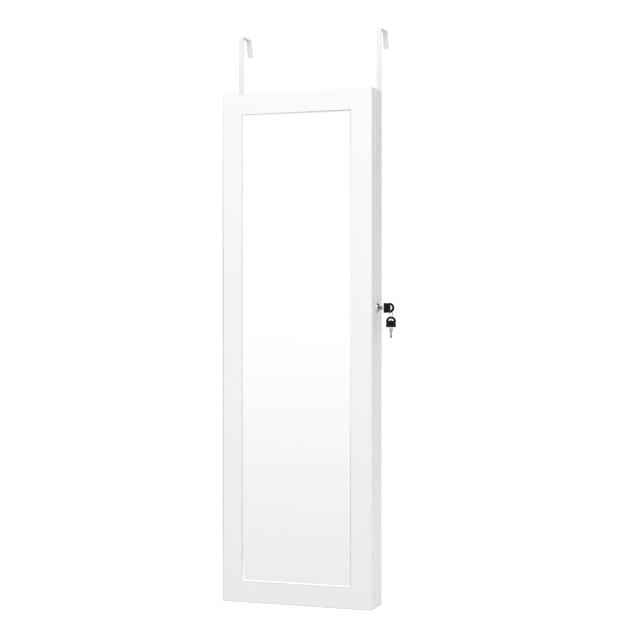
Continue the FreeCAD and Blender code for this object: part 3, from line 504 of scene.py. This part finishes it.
# directions the room is darker in, each with the cosines of its core and rim and its depth
DARK = (
    ((0.16, 0.90, 0.40), 0.95, 0.82, 0.92),
    ((0.93, -0.30, -0.02), 0.955, 0.80, 0.85),
    ((0.34, 0.94, 0.0), 0.98, 0.86, 0.62),
    ((-0.90, 0.43, 0.0), 0.93, 0.70, 0.97),
    ((-0.55, 0.83, 0.0), 0.95, 0.72, 0.90),
)


def world():
    """Even white room; the light thins out towards both sides and above, and the backdrop itself is lit white."""
    w = bpy.data.worlds.new("studio")
    scene.world = w
    w.use_nodes = True
    t = Tree(w.node_tree)
    out = t.new("ShaderNodeOutputWorld")
    seen, lit, mix = t.new("ShaderNodeBackground"), t.new("ShaderNodeBackground"), t.new("ShaderNodeMixShader")
    tc, path, sep = t.new("ShaderNodeTexCoord"), t.new("ShaderNodeLightPath"), t.new("ShaderNodeSeparateXYZ")
    d = tc.outputs["Generated"]
    t.put(sep.inputs[0], d)
    x, y, z = sep.outputs
    level = t.math("MULTIPLY", t.range(x, 0.40, 0.92, 1.0, 0.80), t.range(x, -0.73, -0.88, 1.0, 0.04))
    level = t.math("MULTIPLY", level, t.range(z, 0.30, 0.95, 1.0, 0.84))
    for aim, inner, outer, depth in DARK:
        level = t.math("MULTIPLY", level, t.lobe(d, aim, inner, outer, depth))
    t.put(lit.inputs["Strength"], level)
    lit.inputs["Color"].default_value = (1.03, 1.03, 1.028, 1)
    seen.inputs["Color"].default_value = (1.05, 1.05, 1.05, 1)
    t.put(mix.inputs[0], path.outputs["Is Camera Ray"])
    t.put(mix.inputs[1], lit.outputs[0])
    t.put(mix.inputs[2], seen.outputs[0])
    t.put(out.inputs[0], mix.outputs[0])


world()


def stage_floor():
    """Pale glowing floor well below the hung cabinet, with painted light: paler further away, a painted bright band in
    front and a painted shadow band under the cabinet.
    """
    bm = bmesh.new()
    s, z = 90.0, -1.28
    bm.faces.new([bm.verts.new(p) for p in ((-s, -s, z), (s, -s, z), (s, s, z), (-s, s, z))])
    me = bpy.data.meshes.new("floor")
    bm.to_mesh(me)
    bm.free()
    o = bpy.data.objects.new("floor", me)
    scene.collection.objects.link(o)
    m = bpy.data.materials.new("floor_pale")
    m.use_nodes = True
    t = Tree(m.node_tree)
    out, add, dif, em = t.new("ShaderNodeOutputMaterial"), t.new("ShaderNodeAddShader"), t.new("ShaderNodeBsdfDiffuse"), t.new("ShaderNodeEmission")
    tc, sep, path = t.new("ShaderNodeTexCoord"), t.new("ShaderNodeSeparateXYZ"), t.new("ShaderNodeLightPath")
    t.put(sep.inputs[0], tc.outputs["Object"])
    x, y, _ = sep.outputs
    far = t.math("SUBTRACT", 1.062, t.math("DIVIDE", FLOOR_FALL, t.math("SUBTRACT", 3.159, t.math("MINIMUM", y, -2.9))))
    near = t.math("MULTIPLY", t.range(y, -3.5, -2.6, 0.0, 1.0), t.range(y, -1.3, -0.5, 1.0, 0.0))
    seen = path.outputs["Is Camera Ray"]
    unseen = t.math("SUBTRACT", 1.0, seen)
    rise = t.math("ADD", t.math("MULTIPLY", seen, t.range(y, 0.5, 2.3, 0.0, 1.0)), t.math("MULTIPLY", unseen, t.range(y, 1.6, 4.2, 0.0, 1.0)))
    # painted shadow: a darker band of the glowing floor under the cabinet
    painted_floor_shadow = t.math("MULTIPLY", t.range(y, -1.3, -0.5, 0.0, 1.0), t.math("SUBTRACT", 1.0, rise))
    behind = t.math("MULTIPLY", rise, t.math("ADD", t.math("MULTIPLY", seen, 0.5), 0.5))
    level = t.math("ADD", far, t.math("MULTIPLY", near, FLOOR_NEAR))
    level = t.math("SUBTRACT", level, t.math("MULTIPLY", painted_floor_shadow, FLOOR_UNDER))
    level = t.math("ADD", level, t.math("MULTIPLY", behind, 0.35))
    level = t.math("SUBTRACT", level, t.math("MULTIPLY", unseen, t.math("MULTIPLY", t.range(y, 5.5, 9.5, 0.0, 1.0), 0.38)))
    bright = t.math("MULTIPLY", t.range(x, -0.9, 0.5, 0.0, 1.0), t.range(y, -6.5, -4.0, 0.0, 1.0))
    level = t.math("ADD", level, t.math("MULTIPLY", bright, t.math("MULTIPLY", t.range(y, -3.4, -2.4, 1.0, 0.0), 0.07)))
    t.put(em.inputs["Strength"], t.math("SUBTRACT", level, 0.22, True))
    tint = t.new("ShaderNodeValToRGB")
    t.put(tint.inputs[0], t.range(y, -3.8, -2.4, 0.0, 1.0))
    tint.color_ramp.elements[0].color = (1, 1, 1, 1)
    tint.color_ramp.elements[1].color = (0.965, 0.975, 1.0, 1)
    t.put(em.inputs[0], tint.outputs[0])
    dif.inputs[0].default_value = (0.25, 0.25, 0.25, 1)
    t.put(add.inputs[0], dif.outputs[0])
    t.put(add.inputs[1], em.outputs[0])
    t.put(out.inputs[0], add.outputs[0])
    o.data.materials.append(m)
    return o


FLOOR_FALL = 1.268
FLOOR_NEAR = 0.475
FLOOR_UNDER = 0.46
stage_floor()


def softbox(name, at, aim, w, h, power, tint=(1, 1, 1)):
    data = bpy.data.lights.new(name, "AREA")
    data.shape = "RECTANGLE"
    data.size, data.size_y = w, h
    data.energy = power
    data.color = tint
    o = bpy.data.objects.new(name, data)
    scene.collection.objects.link(o)
    o.location = at
    d = Vector(aim) - Vector(at)
    o.rotation_euler = d.to_track_quat("-Z", "Y").to_euler()
    return o


softbox("key", (0.62, -1.60, 2.10), (0.05, -0.08, 0.25), 1.2, 0.9, 13.45)
softbox("side", (2.4, 0.55, 0.45), (0.185, -0.04, 0.10), 1.0, 2.4, 11.6)
softbox("side_low", (1.30, 0.30, -1.15), (0.185, -0.04, -0.62), 0.6, 0.6, 2.0)


# ------------------------------------------------------------------ finish of the CAD nodes
OWN = dict.fromkeys(("lock_barrel", "lock_plug"), lock_chrome("lock_chrome"))
for name, o in NODES.items():
    slot = SLOT_OF.get(name)
    mat = OWN.get(name) or MATS.get(slot)
    if mat is None:
        print("no slot for", name, slot)
        continue
    o.data.materials.clear()
    o.data.materials.append(mat)


# ------------------------------------------------------------------ soft pieces and the split ring
def new_mesh(name, verts, faces, mat, smooth=True):
    me = bpy.data.meshes.new(name)
    me.from_pydata([tuple(v) for v in verts], [], faces)
    me.update()
    o = bpy.data.objects.new(name, me)
    scene.collection.objects.link(o)
    o.data.materials.append(mat)
    if smooth:
        me.polygons.foreach_set("use_smooth", [True] * len(me.polygons))
    return o


def tube(path, radii, sides=10, closed=False, twist=None):
    """Skin of a wire along a list of points; radii is one number or one per point."""
    n = len(path)
    pts = [Vector(p) for p in path]
    rad = radii if hasattr(radii, "__len__") else [radii] * n
    verts, faces = [], []
    up = None
    for i, p in enumerate(pts):
        a = pts[(i - 1) % n] if closed or i else p
        b = pts[(i + 1) % n] if closed or i < n - 1 else p
        t = (b - a).normalized()
        if up is None:
            up = t.orthogonal().normalized()
        up = (up - t * up.dot(t)).normalized()
        side = t.cross(up)
        for k in range(sides):
            w = 2 * math.pi * k / sides
            verts.append(p + (up * math.cos(w) + side * math.sin(w)) * rad[i])
    for i in range(n if closed else n - 1):
        j = (i + 1) % n
        for k in range(sides):
            m = (k + 1) % sides
            faces.append((i * sides + k, i * sides + m, j * sides + m, j * sides + k))
    if not closed:
        faces.append(tuple(reversed(range(sides))))
        faces.append(tuple(range((n - 1) * sides, n * sides)))
    return verts, faces


def inflate(o, pins, pressure, frames, cap, bend=0.4, tension=18.0, shrink=0.0):
    """Blow the skin up as cloth with some points held, then keep the result within cap of where it was."""
    start = [v.co.copy() for v in o.data.vertices]
    g = o.vertex_groups.new(name="held")
    for i, w in pins.items():
        g.add([i], w, "REPLACE")
    m = o.modifiers.new("cloth", "CLOTH")
    c = m.settings
    c.quality = 6
    c.mass = 0.12
    c.tension_stiffness = c.compression_stiffness = tension
    c.shear_stiffness = tension * 0.5
    c.bending_stiffness = bend
    c.vertex_group_mass = "held"
    c.use_pressure = True
    c.uniform_pressure_force = pressure
    c.shrink_min = shrink
    c.effector_weights.gravity = 0
    m.collision_settings.use_self_collision = False
    m.collision_settings.use_collision = False
    m.point_cache.frame_start, m.point_cache.frame_end = 1, frames
    for f in range(1, frames + 1):
        scene.frame_set(f)
    ev = o.evaluated_get(bpy.context.evaluated_depsgraph_get())
    moved = [v.co.copy() for v in ev.data.vertices]
    o.modifiers.remove(m)
    scene.frame_set(1)
    for v, a, b in zip(o.data.vertices, start, moved):
        d = b - a
        if d.length > cap:
            d *= cap / d.length
        v.co = a + d
    o.data.update()


# nine padded rolls, gathered at both ends
ROLL_X = (0.0320, 0.1690)
ROLL_Y, ROLL_R = -0.0227, 0.0105


def roll(k):
    z = 0.347 + 0.022 * k
    x0, x1 = ROLL_X
    rings, sides = ((76, 48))
    verts, faces = [], []
    for i in range(rings + 1):
        t = i / rings
        s = min(t, 1 - t) * (x1 - x0)
        shoulder = min(1.0, math.sqrt(max(0.0, 1 - (1 - min(s / 0.0052, 1.0)) ** 2)) * 0.86 + 0.14)
        x = x0 + (x1 - x0) * t
        for j in range(sides):
            w = 2 * math.pi * j / sides
            cx, cz = math.cos(w), math.sin(w)
            p = 2.35
            rr = ROLL_R * (abs(cx) ** p + abs(cz) ** p) ** (-1 / p)
            fold = math.exp(-s / 0.0085) * (0.055 * math.cos(17 * w + 3.1 * k) + 0.035 * math.cos(29 * w + 1.7 * k + t * 5))
            soft = 0.018 * noise.noise(Vector((x * 70 + k * 7.3, cx * 1.6, cz * 1.6 + k * 3.1)))
            crease = 0.010 * noise.noise(Vector((x * 260, w * 2.4 + k * 5.0, k * 2.0)))
            r = rr * 0.955 * shoulder * (1 + fold + soft + crease)
            yy = r * cx * 0.985
            zz = r * cz * 1.005
            yy = max(-0.01045, min(0.01045, yy))
            zz = max(-0.01085, min(0.01085, zz))
            verts.append(Vector((x, ROLL_Y + yy, z + zz)))
    for i in range(rings):
        for j in range(sides):
            m = (j + 1) % sides
            faces.append((i * sides + j, i * sides + m, (i + 1) * sides + m, (i + 1) * sides + j))
    for end, x in ((0, x0), (rings, x1)):
        base = end * sides
        dimple = 0.0009 if end == 0 else -0.0009
        inner = len(verts)
        for j in range(sides):
            w = 2 * math.pi * j / sides
            rr = 0.0011 * (1 + 0.3 * math.cos(17 * w))
            v = verts[base + j]
            verts.append(Vector((x + dimple * 0.6, (v.y + ROLL_Y) / 2, (v.z + z) / 2)))
        tip = len(verts)
        verts.append(Vector((x + dimple, ROLL_Y, z)))
        for j in range(sides):
            m = (j + 1) % sides
            f1 = (base + j, inner + j, inner + m, base + m)
            f2 = (inner + j, tip, inner + m)
            faces.append(f1 if end == 0 else tuple(reversed(f1)))
            faces.append(f2 if end == 0 else tuple(reversed(f2)))
    faces = [tuple(reversed(f)) for f in faces]
    return verts, faces


for k in range(9):
    verts, faces = roll(k)
    o = new_mesh("ring_roll_%d" % (k + 1), verts, faces, MATS["velvet_soft"])
    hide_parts("ring_rolls")
    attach(o, "cabinet")


# quilted stud cushion: skin blown up between its seams
CU = (-0.150, 0.150, -0.500, -0.140)
CU_BACK = -0.0658
SEAM_X = (-0.050, 0.050)
SEAM_Z = (-0.410, -0.320, -0.230)


SEAM_Y = -0.0632
CROWN = 0.0068


def pillow(t, lo, hi):
    """0 on a seam, 1 in the middle between two of them."""
    u = abs(2 * (t - lo) / (hi - lo) - 1)
    return max(0.0, 1 - u ** 2.3) ** 0.62


def cushion():
    nx, nz = ((96, 116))
    x0, x1, z0, z1 = CU
    cuts_x = [x0] + list(SEAM_X) + [x1]
    cuts_z = [z0] + list(SEAM_Z) + [z1]
    verts, faces, pins = [], [], {}
    for j in range(nz + 1):
        for i in range(nx + 1):
            x, z = x0 + (x1 - x0) * i / nx, z0 + (z1 - z0) * j / nz
            a = max(k for k in range(3) if x >= cuts_x[k] - 1e-9)
            c = max(k for k in range(4) if z >= cuts_z[k] - 1e-9)
            dx = min(x - cuts_x[a], cuts_x[a + 1] - x)
            dz = min(z - cuts_z[c], cuts_z[c + 1] - z)
            h = pillow(x, cuts_x[a], cuts_x[a + 1]) * pillow(z, cuts_z[c], cuts_z[c + 1])
            y = SEAM_Y + CROWN * h
            # the cloth gathers in small folds that run off the seams
            wob = noise.noise(Vector((x * 40, z * 40, 3.0)))
            fold_x = math.exp(-dx / 0.011) * math.sin(z * 620 + 5 * wob + a * 2.1)
            fold_z = math.exp(-dz / 0.011) * math.sin(x * 620 + 5 * wob + c * 1.3)
            gather = min(1.0, min(dx, dz) / 0.004)
            y += 0.00042 * gather * (fold_x + fold_z) + 0.0005 * h * noise.noise(Vector((x * 24, z * 24, 9.0)))
            if min(dx, dz) < 0.0019:
                pins[len(verts)] = 1.0
            verts.append(Vector((x, y, z)))
    w = nx + 1
    for j in range(nz):
        for i in range(nx):
            faces.append((j * w + i, (j + 1) * w + i, (j + 1) * w + i + 1, j * w + i + 1))
    ring = [j * w for j in range(nz + 1)] + [nz * w + i for i in range(1, nx + 1)] + [j * w + nx for j in range(nz - 1, -1, -1)] + [i for i in range(nx - 1, 0, -1)]
    low = len(verts)
    for v in ring:
        p = verts[v]
        pins[len(verts)] = 1.0
        verts.append(Vector((p.x, CU_BACK, p.z)))
    n = len(ring)
    for a in range(n):
        b = (a + 1) % n
        faces.append((ring[a], ring[b], low + b, low + a))
    mid = len(verts)
    verts.append(Vector(((x0 + x1) / 2, CU_BACK, (z0 + z1) / 2)))
    pins[mid] = 1.0
    for a in range(n):
        b = (a + 1) % n
        faces.append((low + a, low + b, mid))
    return verts, faces, pins


verts, faces, pins = cushion()
quilted = velvet("velvet_quilt", (0.095, 0.089, 0.092), (0.210, 0.198, 0.205), 1.2, (SEAM_X, SEAM_Z, CU[1], CU[2], CU[3]))
pad = new_mesh("stud_cushion_cover", verts, faces, quilted)
bmn = bmesh.new()
bmn.from_mesh(pad.data)
bmesh.ops.recalc_face_normals(bmn, faces=bmn.faces)
bmn.to_mesh(pad.data)
bmn.free()
inflate(pad, pins, 5.0, 18, 0.0016, bend=0.6, tension=16.0, shrink=-0.03)
for i, v in enumerate(pad.data.vertices):
    v.co.y = max(CU_BACK, min(-0.0542, v.co.y))
    v.co.x = max(CU[0], min(CU[1], v.co.x))
    v.co.z = max(CU[2], min(CU[3], v.co.z))
sub = pad.modifiers.new("soft", "SUBSURF")
sub.levels = sub.render_levels = 1
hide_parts("stud_cushion")
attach(pad, "door")

# stitches along the seams and a welt cord round the border
verts, faces = [], []


def stitch(a, b, r=0.00042):
    a, b = Vector(a), Vector(b)
    path = [a, a.lerp(b, 0.12), a.lerp(b, 0.5), a.lerp(b, 0.88), b]
    lift = [-0.0004, 0.0001, 0.0003, 0.0001, -0.0004]
    path = [p + Vector((0, l, 0)) for p, l in zip(path, lift)]
    v, f = tube(path, [r * 0.6, r, r, r, r * 0.6], 6)
    n = len(verts)
    verts.extend(v)
    faces.extend(tuple(i + n for i in q) for q in f)


rng = random.Random(7)
step = 0.0062
for sx in SEAM_X:
    z = CU[2] + 0.006
    while z < CU[3] - 0.008:
        j = rng.uniform(-0.00015, 0.00015)
        stitch((sx + j, SEAM_Y + 0.0004, z), (sx - j, SEAM_Y + 0.0004, z + 0.0038))
        z += step
for sz in SEAM_Z:
    x = CU[0] + 0.006
    while x < CU[1] - 0.008:
        j = rng.uniform(-0.00015, 0.00015)
        stitch((x, SEAM_Y + 0.0004, sz + j), (x + 0.0038, SEAM_Y + 0.0004, sz - j))
        x += step
sewn = new_mesh("cushion_stitches", verts, faces, thread("thread"))
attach(sewn, "door")

corner = 0.006
path = []
for cx, cz, a0 in ((CU[1] - corner, CU[3] - corner, 0), (CU[0] + corner, CU[3] - corner, 90), (CU[0] + corner, CU[2] + corner, 180), (CU[1] - corner, CU[2] + corner, 270)):
    for q in range(7):
        w = math.radians(a0 + 15 * q)
        path.append((cx + (corner - 0.0006) * math.cos(w), CU_BACK + 0.0026, cz + (corner - 0.0006) * math.sin(w)))
fine = []
for a, b in zip(path, path[1:] + path[:1]):
    a, b = Vector(a), Vector(b)
    n = max(1, int((b - a).length / 0.006))
    fine += [a.lerp(b, q / n) for q in range(n)]
verts, faces = tube(fine, [0.0021 * (1 + 0.05 * noise.noise(p * 300)) for p in fine], 12, closed=True)
welt = new_mesh("cushion_welt", verts, faces, MATS["velvet_soft"])
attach(welt, "door")


# velvet stretched over the lining cards, puckered a little away from the fittings
def lining(name, body, x0, x1, z0, z1, y, out, holds):
    """holds: (x0, x1, z0, z1) of what presses on the velvet; it lies sunk there and along its edges."""
    nx, nz = int((x1 - x0) / 0.006), int((z1 - z0) / 0.006)
    verts, faces = [], []
    for j in range(nz + 1):
        for i in range(nx + 1):
            x, z = x0 + (x1 - x0) * i / nx, z0 + (z1 - z0) * j / nz
            d = min(x - x0, x1 - x, z - z0, z1 - z)
            for a0, a1, c0, c1 in holds:
                dx, dz = max(a0 - x, 0, x - a1), max(c0 - z, 0, z - c1)
                d = min(d, math.hypot(dx, dz) - 0.003)
            rise = max(0.0, min(1.0, d / 0.022))
            rise = rise * rise * (3 - 2 * rise)
            wob = noise.noise(Vector((x * 9, z * 5, y * 40))) * 0.5 + noise.noise(Vector((x * 26 + 4, z * 13, 2.0))) * 0.3 + 0.6
            verts.append(Vector((x, y + out * (-0.0002 + rise * 0.0007 * max(0.0, wob)), z)))
    w = nx + 1
    for j in range(nz):
        for i in range(nx):
            f = (j * w + i, j * w + i + 1, (j + 1) * w + i + 1, (j + 1) * w + i)
            faces.append(f if out < 0 else tuple(reversed(f)))
    o = new_mesh(name, verts, faces, MATS["velvet"])
    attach(o, body)
    return o


wide = (-0.173, 0.173)
lining("back_velvet", "cabinet", -0.1728, 0.1728, -0.5478, 0.5478, -0.0060, -1,
       [wide + (0.032, 0.040), wide + (-0.128, -0.120), wide + (-0.288, -0.280), wide + (-0.432, -0.424),
        (0.020, 0.028, 0.040, 0.548), (-0.173, 0.020, 0.519, 0.541), (0.030, 0.171, 0.330, 0.540)])
lining("door_velvet", "door", -0.1728, 0.1728, -0.5878, 0.5878, -0.0660, 1,
       [wide + (z, z + 0.020) for z in (0.480, 0.380, 0.280, 0.180)] + [(-0.150, 0.150, -0.500, -0.140), (0.150, 0.173, 0.055, 0.110)])

# split ring: two turns of round wire with a step between them
path = []
turns = 2.0
seg = 200
cx, cy, cz, rad = 0.2183, -0.036, 0.079, 0.0108
for q in range(seg + 1):
    t = q / seg
    w = 2 * math.pi * turns * t + math.radians(200)
    s = (t - 0.5) / 0.035
    s = max(-1.0, min(1.0, s))
    s = 0.5 * s * (3 - s * s) / 1.0
    path.append((cx + 0.00043 * s, cy + rad * math.cos(w), cz + rad * math.sin(w)))
radii = [0.00041] * len(path)
radii[0] = radii[-1] = 0.00022
radii[1] = radii[-2] = 0.00036
verts, faces = tube(path, radii, 10)
ring = new_mesh("split_ring", verts, faces, ring_wire("ring_wire"))
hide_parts("key_ring")
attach(ring, "key_ring")
